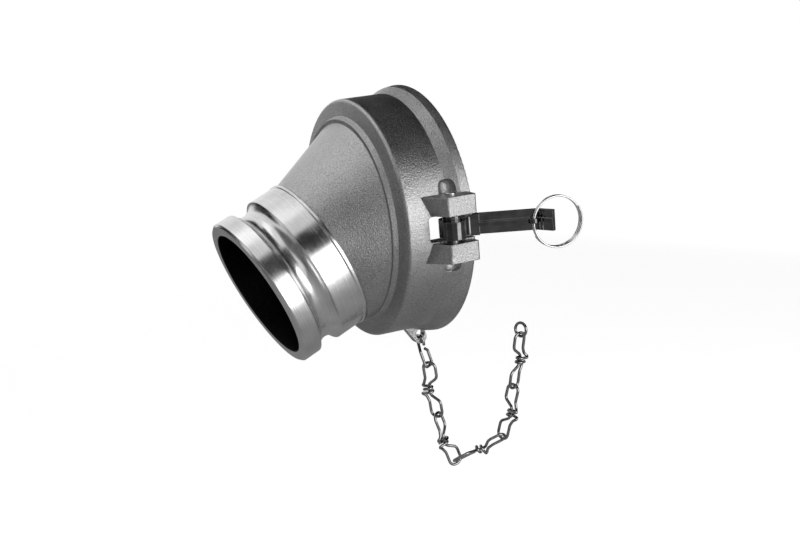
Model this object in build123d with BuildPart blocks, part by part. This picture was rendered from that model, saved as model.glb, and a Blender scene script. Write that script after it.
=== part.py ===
from build123d import *
from math import cos, radians, sin, sqrt, tan
import os

# Gravity drop adapter: a cam and groove nose on a slanted cone that opens into a large socket.
# Millimetres. The origin is the centre of the socket's mouth, +X points out of the mouth, +Z is up.
# The casting is mirror-symmetric about the plane y = 0, which is also its parting plane.

# How far cutters reach past the faces that they cut, and how near a picked edge's centre must be
CUT_OVER = 1.0
PICK_NEAR = 0.1

# Socket
BORE_R = 79.5
SOCKET_WALL = 11.2
BORE_DEPTH = 36.4
SOCKET_LENGTH = 50.2
DRUM_DRAFT = 0.3
RIM_FILLET = 2.4
MOUTH_CHAMFER = 1.2

# Mouth flange
FLANGE_RISE = 5.5
FLANGE_WIDTH = 7.5
FLANGE_STEP = 8.5
FLANGE_TAPER = 1.2
FLANGE_EDGE = 1.6

# Gasket and the groove that traps it
GASKET_THICK = 5.6
GASKET_UNDERCUT = 3.0
GASKET_LIP = 12.6
GASKET_GAP = 0.1
GASKET_ROUND = 1.2

# Shoulder, bead and cone, whose radii are walls round the throat
SHOULDER_RISE = 2.0
BEAD_WALL = 11.1
BEAD_RISE = 3.6
CONE_WALL = 9.1

# Cam and groove nose
NOSE_R = 59.75
NOSE_BORE_R = 50.8
NOSE_TILT = 23.0
NOSE_ROOT_X = -82.1
NOSE_ROOT_Z = -22.1
REAR_COLLAR = 22.8
GROOVE_WIDTH = 18.6
GROOVE_DEPTH = 6.2
FRONT_COLLAR = 13.8
COLLAR_LIP = 0.8
COLLAR_LIP_WIDTH = 2.2
COLLAR_STEP = 1.3
NOSE_EDGE = 1.6

# Ears, windows and drill relief. The ears rise from the drum.
EAR_RISE = 14.6
EAR_FRONT = 2.9
EAR_CREASE = 25.8
EAR_HEEL = 37.0
EAR_HEEL_DRAFT = 4.5
EAR_HEIGHT = 13.6
EAR_GAP = 19.8
EAR_CORNER = 1.8
EAR_CREASE_R = 3.0
EAR_SINK = 2.0
WINDOW_HEIGHT = 18.2
WINDOW_FRONT = 5.0
WINDOW_CORNER = 2.5
BRIDGE_RISE = 0.9
RELIEF_R = 6.4
RELIEF_INSET = 4.0
RELIEF_LENGTH = 5.5

# Hinge pins, a little outside the drum
PIN_R = 4.0
PIN_X = -16.5
PIN_RISE = 2.3
PIN_PROUD = 1.6
PIN_DOME = 0.7
PRESS_GAP = 0.02
RUNNING_GAP = 0.06

# Cam arms, as they stand open
ARM_OPEN = 30.0
STOP_GAP = 0.35
HUB_R = 10.0
LOBE_REACH = 17.0
LOBE_R = 8.5
LOBE_LEAD = 0.8
CAM_SWEEP_GAP = 0.4
BOSS_R = 7.0
SIDE_GAP = 0.35
ARM_BACK = 9.3
ARM_DEPTH = 6.8
ARM_HEIGHT = 15.0
CAM_HEIGHT = 12.6
CAM_END = 12.6
ARM_STRAIGHT = 60.0
NECK_R = 3.0
PLATE = 2.8
RIB = 3.2
RIB_SINK = 0.5
RIB_LAP = 1.0
POCKET_START = 18.6
TIP_LENGTH = 14.5
TIP_BEND = 38.0
TIP_THICK = 2.8
TIP_RIB = 1.0
RING_HOLE_S = 56.6
RING_HOLE_WALL = 1.3

# Pull rings, as coils of wire whose ends overlap by half a turn
RING_WIRE = 1.3
RING_OUT_R = 18.9
RING_TURNS = 2.5
TURN_GAP = 0.9
RING_START = 210.0
RING_PLAY = 0.6
RING_SWING = -20.0
RING_DROP = 3.0

# Chain eye, whose hole hangs below the flange
EYE_X = -3.4
EYE_DROP = 4.0
EYE_HOLE_R = 3.9
EYE_END_R = 5.4
EYE_END_DROP = 2.6
EYE_ROOT = 15.8
EYE_ROOT_SINK = 4.0
EYE_THICK = 7.0
EYE_PLAY = 0.4

# Chain of double-loop links, hanging in a vertical plane that is turned about Z
CHAIN_TURN = -27.5
WIRE = 2.35
BEND_SHARE = 0.49
CHAIN_GAP = 0.3
LINK_PITCH = 43.6
LINK_HEADINGS = (4.7, 16.4, 113.8, 164.2, 169.6)
# How far the upper and the lower loop of each link are turned out of the chain's plane
LINK_TURNS = ((26, 34), (-60, -28), (62, 42), (-50, -44), (46, 40))
# Where each link's top sits from the foot of the piece above it: room for the sharp bends
LINK_SHIFTS = ((0, 0), (0, 0), (-0.34, 1.66), (-0.65, -0.32), (0, 0))
LOOP_WIDTH = 12.8
LOOP_SHOULDER = 10.0
LOOP_CORNER = 4.8
KNOT_R = 2.62
KNOT_HALF = 4.8
# How far the knot sits to one side of the link's middle, and the core wire inside it
KNOT_SHIFT = 5.6
CORE_SHIFT = 3.4
CORE_HALF = 4.4
KNOT_ENTRY = 7.2
KNOT_RISES = (5.2, 2.4, 1.9, 1.6, 1.2)
KNOT_TAIL = 3.4

# Twisted hook that carries the chain, and the plain ring that ends it
HOOK_HEADING = 14.4
HOOK_PITCH = 25.0
HOOK_WAIST = 9.0
HOOK_EYE_WIDTH = 13.2
HOOK_EYE_CORNER = 1.9
HOOK_LOOP_WIDTH = 10.4
HOOK_LOOP_TURN = -48.0
# From the waist: how far the straight legs come, and the wire's ends as (in from the side, away)
HOOK_EYE_LEG = 3.6
HOOK_CROSS_RISE = 3.2
HOOK_CROSS_DROP = 3.6
HOOK_LOOP_LEG = 5.4
HOOK_EYE_END = (1.2, 1.6)
HOOK_LOOP_END = (2.4, 3.0)
END_RING_R = 5.4
END_RING_TURN = -45.0

drum_r = BORE_R + SOCKET_WALL
flange_r = drum_r + FLANGE_RISE
rim_r = drum_r - DRUM_DRAFT
shoulder_x = -SOCKET_LENGTH - SHOULDER_RISE
bead_x = shoulder_x - BEAD_RISE
seat_x = -BORE_DEPTH - GASKET_THICK
throat_r = BORE_R - GASKET_LIP
cone_x = shoulder_x
bead_r = throat_r + BEAD_WALL
cone_foot_r = throat_r + CONE_WALL
nose_length = REAR_COLLAR + GROOVE_WIDTH + FRONT_COLLAR
groove_middle = REAR_COLLAR + GROOVE_WIDTH / 2
ear_out = drum_r + EAR_RISE
ear_top = EAR_GAP / 2 + EAR_HEIGHT
pin_y = drum_r + PIN_RISE
eye_z = -flange_r - EYE_DROP
window_back = PIN_X - LOBE_REACH - CAM_SWEEP_GAP

open_angle = radians(ARM_OPEN)


def stop_line(x):
    """How far from the mid-plane the slope under the open arm's back is at x."""
    back = ARM_BACK + STOP_GAP
    along = (x - PIN_X - back * sin(open_angle)) / cos(open_angle)
    return pin_y - back * cos(open_angle) + along * sin(open_angle)


# The nose plane's normal points along the nose, away from the socket, and its x axis along +Y.
tilt = radians(NOSE_TILT)
nose_root = Vector(NOSE_ROOT_X, 0, NOSE_ROOT_Z)
nose_plane = Plane(origin=nose_root, x_dir=(0, 1, 0), z_dir=(-cos(tilt), 0, -sin(tilt)))
# Profiles that turn about the nose have their x across it and their y along it.
nose_profile = Plane(origin=nose_root, x_dir=(sin(tilt), 0, -cos(tilt)), z_dir=(0, 1, 0))
nose_line = Axis(nose_root, nose_plane.z_dir)

# The casting: socket, shoulder, slanted cone, nose, ears and chain eye in one piece
with BuildPart() as adapter_body:
    # Solid outside of the socket, from the mouth back over the flange, drum, rim and bead
    with BuildSketch(Plane.XZ):
        with BuildLine():
            Polyline(
                (0, 0),
                (0, flange_r),
                (-FLANGE_WIDTH, flange_r - FLANGE_TAPER),
                (-FLANGE_WIDTH - FLANGE_STEP, drum_r),
                (-SOCKET_LENGTH, rim_r),
                (shoulder_x, bead_r),
                (bead_x, bead_r - BEAD_RISE / 2),
                (bead_x, 0),
                close=True,
            )
        make_face()
    revolve(axis=Axis.X)
    fillet(
        adapter_body.edges().filter_by(GeomType.CIRCLE).group_by(Axis.X)[-1], FLANGE_EDGE
    )
    rim_edge = adapter_body.edges().filter_by(GeomType.CIRCLE).sort_by(
        lambda e: abs(e.center().X + SOCKET_LENGTH)
    )[0]
    fillet(rim_edge, RIM_FILLET)

    # Cone from the shoulder to the nose, then the nose itself
    with BuildSketch(Plane.YZ.offset(cone_x)):
        Circle(cone_foot_r)
    with BuildSketch(nose_plane):
        Circle(NOSE_R - COLLAR_STEP)
    loft()
    with BuildSketch(nose_profile):
        with BuildLine():
            lip_r = NOSE_R + COLLAR_LIP
            Polyline(
                (NOSE_R, REAR_COLLAR),
                (NOSE_R, COLLAR_LIP_WIDTH + COLLAR_LIP),
                (lip_r, COLLAR_LIP_WIDTH),
                (lip_r, 0),
                (0, 0),
                (0, nose_length),
                (NOSE_R - NOSE_EDGE, nose_length),
                (NOSE_R, nose_length - NOSE_EDGE),
                (NOSE_R, REAR_COLLAR + GROOVE_WIDTH),
            )
            ThreePointArc(
                (NOSE_R, REAR_COLLAR + GROOVE_WIDTH),
                (NOSE_R - GROOVE_DEPTH, groove_middle),
                (NOSE_R, REAR_COLLAR),
            )
        make_face()
    revolve(axis=nose_line)

    # Ears, two on each side, with heels that lean towards the gap
    for side in (-1, 1):
        for end in (-1, 1):
            for height, heel in ((EAR_GAP / 2, EAR_HEEL - EAR_HEEL_DRAFT), (ear_top, EAR_HEEL)):
                with BuildSketch(Plane.XY.offset(end * height)):
                    with BuildLine():
                        Polyline(
                            (-EAR_FRONT, side * BORE_R),
                            (-EAR_FRONT, side * ear_out),
                            (-EAR_CREASE, side * ear_out),
                            (-heel, side * (drum_r - EAR_SINK)),
                            (-heel, side * BORE_R),
                            close=True,
                        )
                    make_face()
            loft(ruled=True)
        # Low bridge between the two ears
        with BuildSketch(Plane.XY.offset(-EAR_GAP / 2)):
            with Locations((-(EAR_FRONT + EAR_CREASE) / 2, side * (BORE_R + drum_r + BRIDGE_RISE) / 2)):
                Rectangle(EAR_CREASE - EAR_FRONT, drum_r + BRIDGE_RISE - BORE_R)
        extrude(amount=EAR_GAP)
    for corner_x, radius in ((-EAR_FRONT, EAR_CORNER), (-EAR_CREASE, EAR_CREASE_R)):
        corners = adapter_body.edges().filter_by(
            lambda e: abs(e.center().X - corner_x) + abs(abs(e.center().Y) - ear_out) < PICK_NEAR
        )
        fillet(corners, radius)
    slope_end = -WINDOW_FRONT - CUT_OVER
    for side in (-1, 1):
        # Slope at the mouth that the back of the open arm stands against
        with BuildSketch(Plane.XY.offset(-WINDOW_HEIGHT / 2)):
            with BuildLine():
                Polyline(
                    (CUT_OVER, side * stop_line(CUT_OVER)),
                    (CUT_OVER, side * (ear_out + CUT_OVER)),
                    (slope_end, side * (ear_out + CUT_OVER)),
                    (slope_end, side * stop_line(slope_end)),
                    close=True,
                )
            make_face()
        extrude(amount=WINDOW_HEIGHT, mode=Mode.SUBTRACT)

    # Inside: throat, cone bore and nose bore, then the socket bore and the gasket groove
    with BuildSketch(Plane.XZ):
        with BuildLine():
            Polyline(
                (CUT_OVER, 0),
                (CUT_OVER, BORE_R + MOUTH_CHAMFER + CUT_OVER),
                (-MOUTH_CHAMFER, BORE_R),
                (-BORE_DEPTH, BORE_R),
                (-BORE_DEPTH, BORE_R + GASKET_UNDERCUT),
                (seat_x - GASKET_GAP, BORE_R + GASKET_UNDERCUT),
                (seat_x - GASKET_GAP, throat_r),
                (cone_x, throat_r),
                (cone_x, 0),
                close=True,
            )
        make_face()
    revolve(axis=Axis.X, mode=Mode.SUBTRACT)
    with BuildSketch(Plane.YZ.offset(cone_x)):
        Circle(throat_r)
    with BuildSketch(nose_plane):
        Circle(NOSE_BORE_R)
    loft(mode=Mode.SUBTRACT)
    with BuildSketch(nose_plane):
        Circle(NOSE_BORE_R)
    extrude(amount=nose_length, mode=Mode.SUBTRACT)

    # Windows for the cams, drill relief beyond the ears and the pin holes through them
    for side in (-1, 1):
        with BuildSketch(Plane.XZ.offset(-side * (throat_r + CUT_OVER))):
            with Locations(((window_back - WINDOW_FRONT) / 2, 0)):
                RectangleRounded(-window_back - WINDOW_FRONT, WINDOW_HEIGHT, WINDOW_CORNER)
        extrude(amount=-side * (ear_out - throat_r), mode=Mode.SUBTRACT)
        for end in (-1, 1):
            relief_y = side * (pin_y - RELIEF_INSET)
            with BuildSketch(Plane.XY.offset(end * ear_top)):
                with Locations((PIN_X, relief_y)):
                    Circle(RELIEF_R)
            extrude(amount=end * RELIEF_LENGTH, mode=Mode.SUBTRACT)
            with Locations((PIN_X, relief_y, end * (ear_top + RELIEF_LENGTH))):
                Sphere(RELIEF_R, mode=Mode.SUBTRACT)
        with Locations((PIN_X, side * pin_y, 0)):
            Cylinder(PIN_R + PRESS_GAP, 2 * (ear_top + CUT_OVER), mode=Mode.SUBTRACT)

    # Chain eye, a tapered lug under the flange
    with BuildSketch(Plane.XZ):
        with Locations((EYE_X, eye_z - EYE_END_DROP)):
            Circle(EYE_END_R)
        with Locations((-(EYE_ROOT + FLANGE_EDGE) / 2, EYE_ROOT_SINK - flange_r)):
            Rectangle(EYE_ROOT - FLANGE_EDGE, EYE_ROOT_SINK)
        make_hull()
    extrude(amount=EYE_THICK / 2, both=True)
    with BuildSketch(Plane.XZ):
        with Locations((EYE_X, eye_z)):
            Circle(EYE_HOLE_R)
    extrude(amount=EYE_THICK, both=True, mode=Mode.SUBTRACT)

# Gasket, trapped in the undercut at the bottom of the socket
with BuildPart() as socket_gasket:
    with BuildSketch(Plane.XZ) as gasket_profile:
        with BuildLine():
            Polyline(
                (-BORE_DEPTH, throat_r + GASKET_GAP),
                (-BORE_DEPTH, BORE_R + GASKET_UNDERCUT - GASKET_GAP),
                (seat_x, BORE_R + GASKET_UNDERCUT - GASKET_GAP),
                (seat_x, throat_r + GASKET_GAP),
                close=True,
            )
        make_face()
        fillet(gasket_profile.vertices().group_by(Axis.Y)[0], GASKET_ROUND)
    revolve(axis=Axis.X)

# Hinge pin of one side, pressed through both ears
with BuildPart() as near_hinge_pin:
    with Locations((PIN_X, -pin_y, 0)):
        Cylinder(PIN_R, 2 * (ear_top + PIN_PROUD))
    fillet(near_hinge_pin.edges().filter_by(GeomType.CIRCLE), PIN_DOME)

# Cam arm of one side. Its own x runs from the pin to the tip and its own y to the arm's back,
# which is the outer side once the arm is laid back along the socket.
arm_plane = Plane(origin=(PIN_X, -pin_y, 0), x_dir=(cos(open_angle), -sin(open_angle), 0), z_dir=(0, 0, 1))
arm_front = ARM_BACK - ARM_DEPTH
plate_front = ARM_BACK - PLATE
ring_bundle = RING_WIRE + TURN_GAP / 2
ring_hole_r = ring_bundle + RING_PLAY
ring_hole_y = plate_front - ring_hole_r - RING_WIRE
bend = radians(TIP_BEND)
tip_start = Vector(ARM_STRAIGHT, ARM_BACK)
tip_along = Vector(cos(bend), -sin(bend))
tip_across = Vector(-sin(bend), -cos(bend))
tip_end = tip_start + tip_along * TIP_LENGTH
tip_inner = tip_end + tip_across * TIP_THICK
plate_knee = tip_start + Vector(-PLATE * tan(bend / 2), -PLATE)

with BuildPart() as near_cam_arm:
    # Hub and lobe of the cam
    with BuildSketch(arm_plane.offset(-CAM_HEIGHT / 2)) as cam:
        Circle(HUB_R)
        with Locations((LOBE_LEAD, LOBE_R - LOBE_REACH)):
            Circle(LOBE_R)
        make_hull()
        with Locations((POCKET_START / 2, (ARM_BACK + arm_front) / 2)):
            Rectangle(POCKET_START, ARM_DEPTH)
        neck = cam.vertices().sort_by_distance((sqrt(HUB_R**2 - arm_front**2), arm_front))[0]
        fillet(neck, NECK_R)
    extrude(amount=CAM_HEIGHT)
    # Taller bar with its back in line with the hub, and the bent tip
    with BuildSketch(arm_plane.offset(-ARM_HEIGHT / 2)):
        with BuildLine():
            Polyline(
                (CAM_END, ARM_BACK),
                tip_start,
                tip_end,
                tip_inner,
                plate_knee,
                (POCKET_START, plate_front),
                (POCKET_START, arm_front),
                (CAM_END, arm_front),
                close=True,
            )
        make_face()
    extrude(amount=ARM_HEIGHT)
    # Rib along the middle of the plate, with the boss that the pull ring goes through
    with BuildSketch(arm_plane.offset(-RIB / 2)):
        with BuildLine():
            Polyline(
                (POCKET_START - RIB_LAP, ARM_BACK - RIB_SINK),
                (ARM_STRAIGHT, plate_front + RIB_SINK),
                tip_end + tip_across * RIB_SINK,
                tip_end + tip_across * (TIP_THICK + TIP_RIB),
                plate_knee + tip_across * TIP_RIB,
                (RING_HOLE_S, arm_front),
                (POCKET_START - RIB_LAP, arm_front),
                close=True,
            )
        make_face()
        with Locations((RING_HOLE_S, ring_hole_y)):
            Circle(ring_hole_r + RING_HOLE_WALL)
    extrude(amount=RIB)
    # Bosses that centre the arm between the ears, the pin hole and the ring hole
    with BuildSketch(arm_plane.offset(SIDE_GAP - WINDOW_HEIGHT / 2)):
        Circle(BOSS_R)
    extrude(amount=WINDOW_HEIGHT - 2 * SIDE_GAP)
    with BuildSketch(arm_plane.offset(-EAR_GAP)):
        Circle(PIN_R + RUNNING_GAP)
        with Locations((RING_HOLE_S, ring_hole_y)):
            Circle(ring_hole_r)
    extrude(amount=2 * EAR_GAP, mode=Mode.SUBTRACT)

# Pull ring of one side: two strands of its coil pass down through the arm's rib
swing = radians(ARM_OPEN + RING_SWING)
ring_out = Vector(cos(swing), -sin(swing), 0)
ring_mean_r = RING_OUT_R - RING_WIRE / 2
ring_hole = arm_plane.from_local_coords(Vector(RING_HOLE_S, ring_hole_y, 0))
ring_axis = ring_out.cross(Vector(0, 0, 1))
turn_rise = RING_WIRE + TURN_GAP
# The hole is half a turn round from ring_out; the first two strands that pass there go through it.
hole_rise = turn_rise * (2 - RING_START / 360)
ring_reach = sqrt(ring_mean_r**2 - RING_DROP**2)
ring_centre = ring_hole + ring_out * ring_reach - ring_axis * hole_rise - Vector(0, 0, RING_DROP)
ring_start = ring_out.rotate(Axis((0, 0, 0), ring_axis), RING_START)
ring_plane = Plane(origin=ring_centre, x_dir=ring_start, z_dir=ring_axis)
with BuildPart() as near_pull_ring:
    with BuildLine() as ring_path:
        add(Edge.make_helix(turn_rise, RING_TURNS * turn_rise, ring_mean_r).moved(ring_plane.location))
    with BuildSketch(Plane(origin=ring_path.line @ 0, z_dir=ring_path.line % 0)):
        Circle(RING_WIRE / 2)
    sweep(is_frenet=True)


def wire_path(points, widest):
    """The points with, for each corner, the widest radius that its two runs allow."""
    corner_radii = []
    for before, corner, after in zip(points, points[1:], points[2:]):
        turn = radians((corner - before).get_angle(after - corner))
        run = min((corner - before).length, (after - corner).length)
        corner_radii.append(min(widest, BEND_SHARE * run / tan(turn / 2)))
    return FilletPolyline(*points, radius=corner_radii)


def bent_wire(points, widest):
    """One piece of round wire bent along the points."""
    with BuildPart() as wire:
        with BuildLine() as route:
            wire_path(points, widest)
        with BuildSketch(Plane(origin=route.line @ 0, z_dir=route.line % 0)):
            Circle(WIRE / 2)
        sweep()
    return wire.part


# The chain plane: its x axis is level, its y axis is up and its normal is the links' hinge axis.
chain_azimuth = radians(CHAIN_TURN)
hole_bottom = eye_z - EYE_HOLE_R
chain_start = Vector(EYE_X, 0, hole_bottom + WIRE / 2 + EYE_PLAY)
chain_plane = Plane(origin=chain_start, x_dir=(cos(chain_azimuth), sin(chain_azimuth), 0),
                    z_dir=(sin(chain_azimuth), -cos(chain_azimuth), 0))
# Half the distance between the two wires where one loop hooks into the next
hook_over = (WIRE + CHAIN_GAP) / 2


def piece_plane(top, heading, turn):
    """A chain piece's own plane: z up along the piece, x across its loops."""
    angle = radians(heading)
    up = chain_plane.x_dir * -sin(angle) + chain_plane.y_dir * cos(angle)
    level = chain_plane.x_dir * cos(angle) + chain_plane.y_dir * sin(angle)
    across = level * cos(radians(turn)) + chain_plane.z_dir * sin(radians(turn))
    return Plane(origin=top, x_dir=across, z_dir=up)


def below(top, heading, length):
    angle = radians(heading)
    return top + (chain_plane.x_dir * sin(angle) - chain_plane.y_dir * cos(angle)) * length


def loop_half():
    """From a link's middle: out of the knot, round one loop and once round the knot."""
    side = (LOOP_WIDTH - WIRE) / 2
    top = LINK_PITCH / 2 + hook_over
    inner = KNOT_HALF - KNOT_SHIFT
    outer = -KNOT_HALF - KNOT_SHIFT
    entry, first, second, third, last = KNOT_RISES
    return [
        Vector(-CORE_SHIFT, 0, CORE_HALF),
        Vector(side, 0, LOOP_SHOULDER),
        Vector(side, 0, top),
        Vector(-side, 0, top),
        Vector(-side, 0, LOOP_SHOULDER),
        Vector(-KNOT_ENTRY, 0, entry),
        Vector(outer, KNOT_R, first),
        Vector(inner, KNOT_R, second),
        Vector(inner, -KNOT_R, third),
        Vector(outer + KNOT_TAIL, -KNOT_R, last),
    ]


# Double-loop links: one wire each, with both tails wound round the waist
links = []
top = below(chain_start, HOOK_HEADING, HOOK_PITCH)
for heading, turns, shift in zip(LINK_HEADINGS, LINK_TURNS, LINK_SHIFTS):
    top = top + chain_plane.x_dir * shift[0] + chain_plane.y_dir * shift[1]
    middle = below(top, heading, LINK_PITCH / 2)
    upper_plane, lower_plane = [piece_plane(middle, heading, turn) for turn in turns]
    upper = [upper_plane.from_local_coords(point) for point in loop_half()]
    lower = [lower_plane.from_local_coords(Vector(point.X, -point.Y, -point.Z)) for point in loop_half()]
    links.append(bent_wire(lower[::-1] + upper, LOOP_CORNER))
    top = below(top, heading, LINK_PITCH)
chain_foot = top

# Hook: its upper bend goes through the chain eye along Y, its lower bend carries the first link
hook_up = below(Vector(), HOOK_HEADING, -1)
hook_across = (Vector(0, 1, 0) - hook_up * hook_up.Y).normalized()
hook_waist = below(chain_start, HOOK_HEADING, HOOK_WAIST)
eye_bend = Plane(origin=hook_waist, x_dir=hook_across, z_dir=hook_up)
loop_bend = piece_plane(hook_waist, HOOK_HEADING, HOOK_LOOP_TURN)
eye_side = (HOOK_EYE_WIDTH - WIRE) / 2
loop_side = (HOOK_LOOP_WIDTH - WIRE) / 2
loop_foot = HOOK_WAIST - HOOK_PITCH - hook_over
hook_points = [
    eye_bend.from_local_coords(Vector(HOOK_EYE_END[0] - eye_side, 0, HOOK_EYE_END[1])),
    eye_bend.from_local_coords(Vector(-eye_side, 0, HOOK_EYE_LEG)),
    eye_bend.from_local_coords(Vector(-eye_side, 0, HOOK_WAIST)),
    eye_bend.from_local_coords(Vector(eye_side, 0, HOOK_WAIST)),
    eye_bend.from_local_coords(Vector(eye_side, 0, HOOK_CROSS_RISE)),
    loop_bend.from_local_coords(Vector(-loop_side, 0, -HOOK_CROSS_DROP)),
    loop_bend.from_local_coords(Vector(-loop_side, 0, loop_foot)),
    loop_bend.from_local_coords(Vector(loop_side, 0, loop_foot)),
    loop_bend.from_local_coords(Vector(loop_side, 0, -HOOK_LOOP_LEG)),
    loop_bend.from_local_coords(Vector(loop_side - HOOK_LOOP_END[0], 0, -HOOK_LOOP_END[1])),
]
chain_hook = bent_wire(hook_points, HOOK_EYE_CORNER)

# Plain ring through the last loop
end_centre = below(chain_foot, LINK_HEADINGS[-1], END_RING_R - hook_over)
ring_flat = piece_plane(end_centre, LINK_HEADINGS[-1], END_RING_TURN)
with BuildPart() as chain_end_ring:
    with BuildSketch(ring_flat):
        with Locations((END_RING_R, 0)):
            Circle(WIRE / 2)
    revolve(axis=Axis(end_centre, ring_flat.y_dir))

pieces = {
    "adapter_body": adapter_body.part,
    "socket_gasket": socket_gasket.part,
    "near_hinge_pin": near_hinge_pin.part,
    "near_cam_arm": near_cam_arm.part,
    "near_pull_ring": near_pull_ring.part,
    "chain_hook": chain_hook,
    "chain_end_ring": chain_end_ring.part,
}
# The far side is the near side's mirror image.
for name in ("hinge_pin", "cam_arm", "pull_ring"):
    pieces["far_" + name] = mirror(pieces["near_" + name], about=Plane.XZ)
for number, link in enumerate(links, start=1):
    pieces[f"chain_link_{number}"] = link

os.makedirs("parts", exist_ok=True)
for name, piece in pieces.items():
    piece.label = name
    export_step(piece, f"parts/{name}.step")
    print(name, len(piece.solids()), piece.is_valid, round(piece.volume, 1))
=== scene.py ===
import bpy
from math import cos, radians, sin
from mathutils import Matrix, Vector

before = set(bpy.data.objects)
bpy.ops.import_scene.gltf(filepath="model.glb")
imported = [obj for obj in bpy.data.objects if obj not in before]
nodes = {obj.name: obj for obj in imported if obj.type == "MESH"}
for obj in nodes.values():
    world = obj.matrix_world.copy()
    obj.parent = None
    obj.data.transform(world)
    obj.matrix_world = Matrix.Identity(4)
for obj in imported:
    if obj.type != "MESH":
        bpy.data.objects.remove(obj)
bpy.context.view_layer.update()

# Sizes of the model, in metres, that say where each finish of the casting lies
NOSE_TILT = radians(23.0)
NOSE_ROOT = (-0.0821, 0.0, -0.0221)
NOSE_AXIS = (-cos(NOSE_TILT), 0.0, -sin(NOSE_TILT))
NOSE_BORE_R = 0.0508
BORE_R = 0.0795
BORE_DEPTH = 0.0364
THROAT_R = 0.0669
# All of the cone's outside lies further than this from the nose's axis
CONE_SKIN_R = 0.0572
# How far the turned finish reaches past the edges of its surfaces, and the painted shade inside
TURNED_REACH = 0.0002
MOUTH_REACH = 0.0004
SHADE_PAINT_REACH = 0.0003
# The painted shade inside starts behind the gasket's front face, and is lapped at the nose's root
SHADE_PAINT_START = 0.0008
CONE_LAP = 0.001
NOSE_BORE_LAP = 0.004

# Noise scales, in features per metre, and the span that most noise values lie in
GRAIN = 950.0
PATCHES = 45.0
FLECKS = 2600.0
TURNING = 1100.0
SMEAR = 60.0
NOISE_SPAN = (0.3, 0.7)

# Stage, in metres, with the floor well below the chain
FLOOR_Z = -0.32
FLOOR_REACH = 6.0
LOOK_AT = Vector((-0.05, 0.0, -0.03))
SHEET_CORNERS = ((-1, -1), (1, -1), (1, 1), (-1, 1))
# The floor's own glow, as the eye and as mirroring metal see it
FLOOR_SEEN = 0.88
FLOOR_MIRRORED = 0.12
# How bright the world is as light, next to the white that the eye and mirroring metal see
WORLD_LIGHT = 0.12

# Camera at the photograph's place and angle
CAMERA_AT = Vector((-0.40438, -0.78697, 0.15426))
CAMERA_RIGHT = Vector((0.8842, -0.4594, -0.0844))
CAMERA_FORWARD = Vector((0.4331, 0.8741, -0.2200))
CAMERA_LENS = 51.85
CAMERA_SENSOR = 36.0
CAMERA_NEAR = 0.01


class Shading:
    """The nodes of a material or world, with short ways to add and wire them."""

    def __init__(self, owner, shader="Principled BSDF"):
        owner.use_nodes = True
        self.owner = owner
        self.tree = owner.node_tree
        self.shader = self.tree.nodes[shader]

    def add(self, kind, **settings):
        node = self.tree.nodes.new("ShaderNode" + kind)
        for key, value in settings.items():
            setattr(node, key, value)
        return node

    def wire(self, source, target):
        self.tree.links.new(source, target)

    def feed(self, socket, value):
        """Wires another node's output into the socket, or sets it to a constant."""
        if isinstance(value, bpy.types.NodeSocket):
            self.wire(value, socket)
        elif value is not None:
            socket.default_value = value

    def shade(self, name, value):
        self.wire(value, self.shader.inputs[name])

    def math(self, operation, a, b=None, c=None):
        node = self.add("Math", operation=operation)
        for socket, value in zip(node.inputs, (a, b, c)):
            self.feed(socket, value)
        return node.outputs[0]

    def plus(self, a, b):
        return self.math("ADD", a, b)

    def times(self, a, b):
        return self.math("MULTIPLY", a, b)

    def over(self, value, limit):
        return self.math("GREATER_THAN", value, limit)

    def under(self, value, limit):
        return self.math("LESS_THAN", value, limit)

    def vector(self, operation, a, b):
        node = self.add("VectorMath", operation=operation)
        for socket, value in zip(node.inputs, (a, b)):
            self.feed(socket, value)
        return node.outputs["Value" if operation == "DOT_PRODUCT" else "Vector"]

    def place(self):
        return self.add("TexCoord").outputs["Object"]

    def noise(self, scale, detail, at, rough=0.5):
        node = self.add("TexNoise")
        node.inputs["Scale"].default_value = scale
        node.inputs["Detail"].default_value = detail
        node.inputs["Roughness"].default_value = rough
        self.wire(at, node.inputs["Vector"])
        return node.outputs["Fac"]

    def remap(self, value, span, low, high):
        """Brings what lies in the span to low and high, and holds it there beyond."""
        node = self.add("MapRange")
        node.inputs["From Min"].default_value = span[0]
        node.inputs["From Max"].default_value = span[1]
        node.inputs["To Min"].default_value = low
        node.inputs["To Max"].default_value = high
        self.wire(value, node.inputs["Value"])
        return node.outputs["Result"]

    def spread(self, noise, low, high):
        return self.remap(noise, NOISE_SPAN, low, high)

    def grey(self, value):
        node = self.add("CombineColor")
        for socket in node.inputs:
            self.wire(value, socket)
        return node.outputs[0]

    def blend_colors(self, factor, a, b):
        node = self.add("Mix", data_type="RGBA")
        self.wire(factor, node.inputs["Factor"])
        first, second = [s for s in node.inputs if s.type == "RGBA"]
        self.wire(a, first)
        self.wire(b, second)
        return [s for s in node.outputs if s.type == "RGBA"][0]

    def blend_values(self, factor, a, b):
        node = self.add("Mix", data_type="FLOAT")
        share, first, second = [s for s in node.inputs if s.type == "VALUE"]
        self.wire(factor, share)
        self.wire(a, first)
        self.wire(b, second)
        return node.outputs[0]

    def relief(self, height, depth, strength, edge=None):
        """Bumps of the given depth, on edges that look rounded by the given radius."""
        node = self.add("Bump")
        node.inputs["Distance"].default_value = depth
        node.inputs["Strength"].default_value = strength
        self.wire(height, node.inputs["Height"])
        if edge is not None:
            bevel = self.add("Bevel", samples=6)
            bevel.inputs["Radius"].default_value = edge
            self.wire(bevel.outputs["Normal"], node.inputs["Normal"])
        self.shade("Normal", node.outputs["Normal"])


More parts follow.
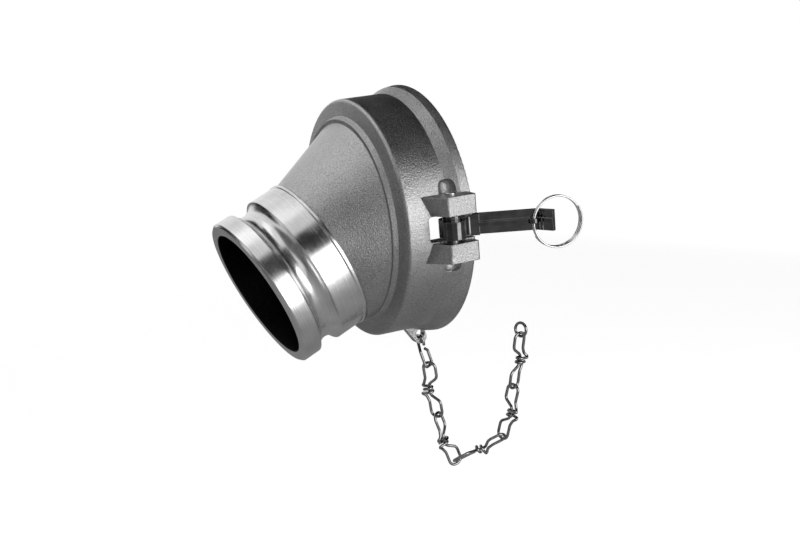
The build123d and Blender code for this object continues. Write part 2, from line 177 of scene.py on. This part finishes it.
def cast_masks(m, at):
    """Where the casting is turned bright, where shade is painted near black inside it, and two of its
    coordinates.
    """
    split = m.add("SeparateXYZ")
    m.wire(at, split.inputs[0])
    x, y, z = split.outputs
    from_axis = m.math("SQRT", m.plus(m.times(y, y), m.times(z, z)))
    # Along the nose's axis and away from it
    off = m.vector("SUBTRACT", at, NOSE_ROOT)
    along = m.vector("DOT_PRODUCT", off, NOSE_AXIS)
    across = m.math("SQRT", m.math("SUBTRACT", m.vector("DOT_PRODUCT", off, off), m.times(along, along)))

    nose = m.times(m.over(along, -TURNED_REACH), m.over(across, NOSE_BORE_R + MOUTH_REACH))
    socket = m.times(m.over(x, -BORE_DEPTH - TURNED_REACH), m.under(from_axis, BORE_R + TURNED_REACH))
    mouth_face = m.over(x, -MOUTH_REACH)
    turned = m.math("MAXIMUM", nose, m.math("MAXIMUM", socket, mouth_face))

    # Painted shade: the throat behind the gasket, the cone's inside and the nose's bore are painted near
    # black
    throat = m.times(m.under(x, -BORE_DEPTH - SHADE_PAINT_START), m.under(from_axis, THROAT_R + SHADE_PAINT_REACH))
    cone_inside = m.times(m.times(throat, m.under(along, CONE_LAP)), m.under(across, CONE_SKIN_R))
    nose_bore = m.times(m.over(along, -NOSE_BORE_LAP), m.under(across, NOSE_BORE_R + SHADE_PAINT_REACH))
    painted_shade_inside = m.math("MAXIMUM", nose_bore, cone_inside)
    return turned, painted_shade_inside, y, along


def cast_aluminium():
    """Sand casting with a turned nose, a turned socket, and shade painted near black on its inner walls.
    """
    m = Shading(bpy.data.materials.new("cast_aluminium"))
    at = m.place()
    turned, painted_shade_inside, y, along = cast_masks(m, at)
    grain = m.noise(GRAIN, 3.0, at, rough=0.65)
    patches = m.noise(PATCHES, 3.0, at)
    flecks = m.noise(FLECKS, 1.0, at)
    smear = m.noise(SMEAR, 2.0, at)
    lines = m.add("CombineXYZ")
    m.wire(m.times(along, TURNING), lines.inputs[0])
    turning = m.noise(1.0, 3.0, lines.outputs[0])

    cast_tone = m.plus(m.spread(grain, 0.25, 0.52), m.spread(patches, -0.03, 0.03))
    cast_tone = m.plus(cast_tone, m.remap(flecks, (0.6, 0.76), 0.0, 0.3))
    turned_tone = m.plus(m.spread(smear, 0.55, 0.7), m.spread(turning, -0.07, 0.07))
    # Painted shade, near black, on the inner walls
    painted_shade_tone = m.remap(grain, (0.35, 0.7), 0.004, 0.02)
    color = m.blend_colors(turned, m.grey(cast_tone), m.grey(turned_tone))
    m.shade("Base Color", m.blend_colors(painted_shade_inside, color, m.grey(painted_shade_tone)))

    cast_rough = m.plus(m.spread(grain, 0.29, 0.39), m.spread(patches, -0.03, 0.03))
    turned_rough = m.plus(m.spread(smear, 0.17, 0.26), m.spread(turning, -0.03, 0.05))
    m.shade("Roughness", m.blend_values(turned, cast_rough, turned_rough))
    m.shader.inputs["Metallic"].default_value = 1.0

    # Sand grain with the parting line along y = 0, and the turning lines
    parting_line = m.remap(m.math("ABSOLUTE", y), (0.0002, 0.0007), 1.0, 0.0)
    sand = m.plus(m.plus(grain, m.times(patches, 1.2)), m.times(parting_line, 0.9))
    height = m.blend_values(turned, sand, m.times(turning, 0.07))
    m.relief(height, depth=0.0005, strength=0.8, edge=0.0008)
    return m.owner


def steel(name, low, high, rough, fine=900.0, edge=0.0004):
    """Polished steel with faint scuffs, from low to high in tone."""
    m = Shading(bpy.data.materials.new(name))
    at = m.place()
    cloud = m.noise(120.0, 3.0, at)
    scuff = m.noise(fine, 2.0, at)
    m.shade("Base Color", m.grey(m.spread(cloud, low, high)))
    m.shade("Roughness", m.remap(scuff, (0.3, 0.75), rough * 0.8, rough * 1.4))
    m.shader.inputs["Metallic"].default_value = 1.0
    m.relief(scuff, depth=0.00004, strength=0.5, edge=edge)
    return m.owner


def rubber():
    m = Shading(bpy.data.materials.new("gasket_rubber"))
    at = m.place()
    m.shade("Base Color", m.grey(m.spread(m.noise(300.0, 3.0, at), 0.02, 0.04)))
    m.shader.inputs["Roughness"].default_value = 0.62
    m.relief(m.noise(1500.0, 2.0, at), depth=0.0001, strength=0.5)
    return m.owner


def finish_pieces():
    """Each piece of the model gets its material."""
    finishes = {"adapter_body": cast_aluminium()}
    arm_steel = steel("arm_steel", 0.1, 0.18, rough=0.1, edge=0.0006)
    ring_steel = steel("ring_steel", 0.62, 0.75, rough=0.12)
    chain_steel = steel("chain_steel", 0.24, 0.38, rough=0.13, fine=1400.0)
    pin_steel = steel("pin_steel", 0.5, 0.65, rough=0.18)
    finishes["socket_gasket"] = rubber()
    for side in ("near", "far"):
        finishes[side + "_hinge_pin"] = pin_steel
        finishes[side + "_cam_arm"] = arm_steel
        finishes[side + "_pull_ring"] = ring_steel
    for name, node in nodes.items():
        node.data.materials.clear()
        node.data.materials.append(finishes.get(name, chain_steel))
        for polygon in node.data.polygons:
            polygon.material_index = 0


def place_camera():
    data = bpy.data.cameras.new("camera")
    data.lens = CAMERA_LENS
    data.sensor_width = CAMERA_SENSOR
    data.clip_start = CAMERA_NEAR
    camera = bpy.data.objects.new("camera", data)
    bpy.context.scene.collection.objects.link(camera)
    forward = CAMERA_FORWARD.normalized()
    right = (CAMERA_RIGHT - forward * CAMERA_RIGHT.dot(forward)).normalized()
    turn = Matrix((right, right.cross(forward), -forward)).transposed()
    camera.matrix_world = Matrix.Translation(CAMERA_AT) @ turn.to_4x4()
    bpy.context.scene.camera = camera


def stage_sheet(name, corners):
    mesh = bpy.data.meshes.new(name)
    mesh.from_pydata(corners, [], [tuple(range(len(corners)))])
    sheet = bpy.data.objects.new(name, mesh)
    bpy.context.scene.collection.objects.link(sheet)
    m = Shading(bpy.data.materials.new(name))
    mesh.materials.append(m.owner)
    return sheet, m


def panel(name, direction, distance, width, height, grey):
    """A studio card that the metal mirrors, and that neither camera nor shadows see."""
    facing = Vector(direction).normalized()
    side = facing.cross(Vector((0.0, 0.0, 1.0))).normalized() * (width / 2)
    rise = side.cross(facing).normalized() * (height / 2)
    middle = LOOK_AT + facing * distance
    sheet, m = stage_sheet(name, [middle + side * i + rise * j for i, j in SHEET_CORNERS])
    glow = m.add("Emission")
    glow.inputs["Color"].default_value = (grey, grey, grey, 1.0)
    m.wire(glow.outputs[0], m.tree.nodes["Material Output"].inputs["Surface"])
    sheet.visible_camera = False
    sheet.visible_shadow = False
    sheet.visible_transmission = False


def pale_floor():
    """A matt floor that keeps the shadow, with a glow that lifts it to near white."""
    corners = [(i * FLOOR_REACH, j * FLOOR_REACH, FLOOR_Z) for i, j in SHEET_CORNERS]
    m = stage_sheet("floor", corners)[1]
    m.shader.inputs["Base Color"].default_value = (0.9, 0.9, 0.9, 1.0)
    m.shader.inputs["Roughness"].default_value = 0.9
    m.shader.inputs["Specular IOR Level"].default_value = 0.1
    ray = m.add("LightPath").outputs
    glow = m.add("Emission")
    glow.inputs["Color"].default_value = (1.0, 1.0, 1.0, 1.0)
    mirrored = m.times(ray["Is Glossy Ray"], FLOOR_MIRRORED)
    strength = m.math("MULTIPLY_ADD", ray["Is Camera Ray"], FLOOR_SEEN, mirrored)
    m.wire(strength, glow.inputs["Strength"])
    total = m.add("AddShader")
    m.wire(m.shader.outputs[0], total.inputs[0])
    m.wire(glow.outputs[0], total.inputs[1])
    m.wire(total.outputs[0], m.tree.nodes["Material Output"].inputs["Surface"])


def white_world():
    """White to the eye, in reflections and through glass, a low grey as light."""
    world = bpy.data.worlds.new("world")
    bpy.context.scene.world = world
    m = Shading(world, "Background")
    m.shader.inputs["Color"].default_value = (1.0, 1.0, 1.0, 1.0)
    ray = m.add("LightPath").outputs
    seen = m.math("MAXIMUM", ray["Is Camera Ray"], ray["Is Glossy Ray"])
    seen = m.math("MAXIMUM", seen, ray["Is Transmission Ray"])
    m.shade("Strength", m.remap(seen, (0.0, 1.0), WORLD_LIGHT, 1.0))


def lamp(name, direction, distance, width, height, power):
    data = bpy.data.lights.new(name, "AREA")
    data.shape = "RECTANGLE"
    data.size = width
    data.size_y = height
    data.energy = power
    light = bpy.data.objects.new(name, data)
    place = LOOK_AT + Vector(direction).normalized() * distance
    light.location = place
    light.rotation_euler = (LOOK_AT - place).to_track_quat("-Z", "Y").to_euler()
    light.visible_camera = False
    bpy.context.scene.collection.objects.link(light)


finish_pieces()
place_camera()
pale_floor()
white_world()
lamp("key", (0.33, -0.93, 0.1), distance=1.3, width=0.8, height=1.0, power=7.5)
lamp("top_left", (-0.32, 0.2, 0.93), distance=1.2, width=0.5, height=0.8, power=0.75)

# Dark and grey cards round the object, so that its metal has something to mirror
panel("card_top", (0.25, -0.7, 0.76), distance=1.1, width=1.8, height=0.72, grey=0.01)
panel("card_right", (0.75, 0.3, 0.5), distance=1.0, width=2.0, height=1.7, grey=0.01)
panel("card_ceiling", (0.32, 0.05, 0.95), distance=0.95, width=0.75, height=0.9, grey=0.01)
panel("card_back_left", (-0.7, 0.72, -0.1), distance=1.1, width=1.0, height=1.1, grey=0.02)
panel("card_left", (-0.9, -0.35, 0.25), distance=1.2, width=1.3, height=1.4, grey=0.14)

bpy.context.scene.view_settings.view_transform = "Standard"
